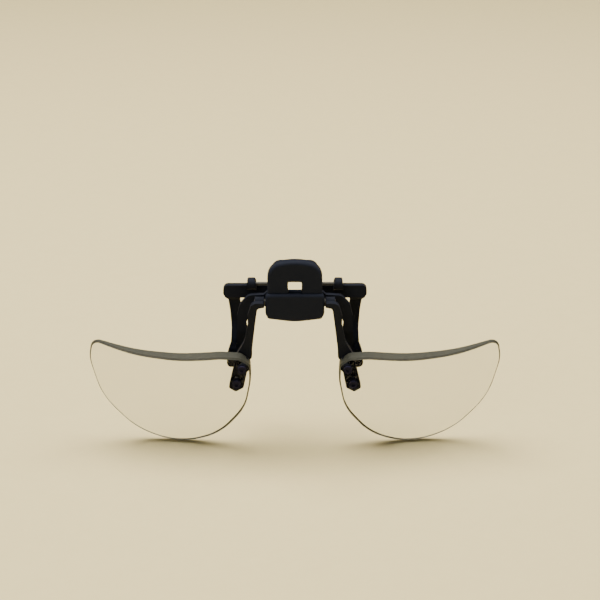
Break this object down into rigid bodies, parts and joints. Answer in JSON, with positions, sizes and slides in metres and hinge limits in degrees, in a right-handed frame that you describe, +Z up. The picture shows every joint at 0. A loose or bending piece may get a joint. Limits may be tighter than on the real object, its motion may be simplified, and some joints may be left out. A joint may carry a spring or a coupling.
{
  "type": "flip-up lens clip",
  "caption": "Spring clip that grips the front of a pair of spectacles and carries two half-moon reading lenses that flip up together.",
  "frame": {"origin": "middle of the grip, halfway between the front and rear rubber boots and midway between left and right", "axes": "+X to the right as seen from the front, +Y back towards the wearer's face, +Z up"},
  "size_m": [0.0986, 0.0145, 0.0481],
  "materials": {
    "black_plastic": "satin, fine moulded grain",
    "soft_rubber": "soft matte",
    "clear_lens": "clear optical plastic, polished faces, ground edge",
    "black_steel": "black plated",
    "bright_steel": "drawn wire and turned pin"
  },
  "bodies": {
    "front_body": {"boot_front_left": "soft_rubber", "boot_front_right": "soft_rubber", "detent_spring": "bright_steel", "front_frame": "black_plastic", "jaw_pin_left": "bright_steel", "jaw_pin_right": "bright_steel", "jaw_spring_left": "bright_steel", "jaw_spring_right": "bright_steel", "thumb_tab": "black_plastic"},
    "rear_body": {"boot_rear_left": "soft_rubber", "boot_rear_right": "soft_rubber", "rear_jaw": "black_plastic"},
    "lens_carrier": {"flip_shaft": "bright_steel", "lens_arm_left": "black_plastic", "lens_arm_right": "black_plastic", "lens_left": "clear_lens", "lens_right": "clear_lens", "nut_left_lower": "black_steel", "nut_left_upper": "black_steel", "nut_right_lower": "black_steel", "nut_right_upper": "black_steel", "screw_left_lower": "black_steel", "screw_left_upper": "black_steel", "screw_right_lower": "black_steel", "screw_right_upper": "black_steel", "washer_left_lower": "soft_rubber", "washer_left_upper": "soft_rubber", "washer_right_lower": "soft_rubber", "washer_right_upper": "soft_rubber"}
  },
  "joints": [
    {"name": "jaw_pinch", "type": "hinge", "parent": "front_body", "child": "rear_body", "pos_m": [0, -0.001, 0.0196], "axis": [1, 0, 0], "range_deg": [0, 20], "stiffness_Nm_per_rad": 0.02, "springref_deg": -45.84, "deforming": ["jaw_spring_left", "jaw_spring_right"]},
    {"name": "lens_flip", "type": "hinge", "parent": "front_body", "child": "lens_carrier", "pos_m": [0, -0.0056, 0.0167], "axis": [-1, 0, 0], "range_deg": [0, 100]}
  ]
}
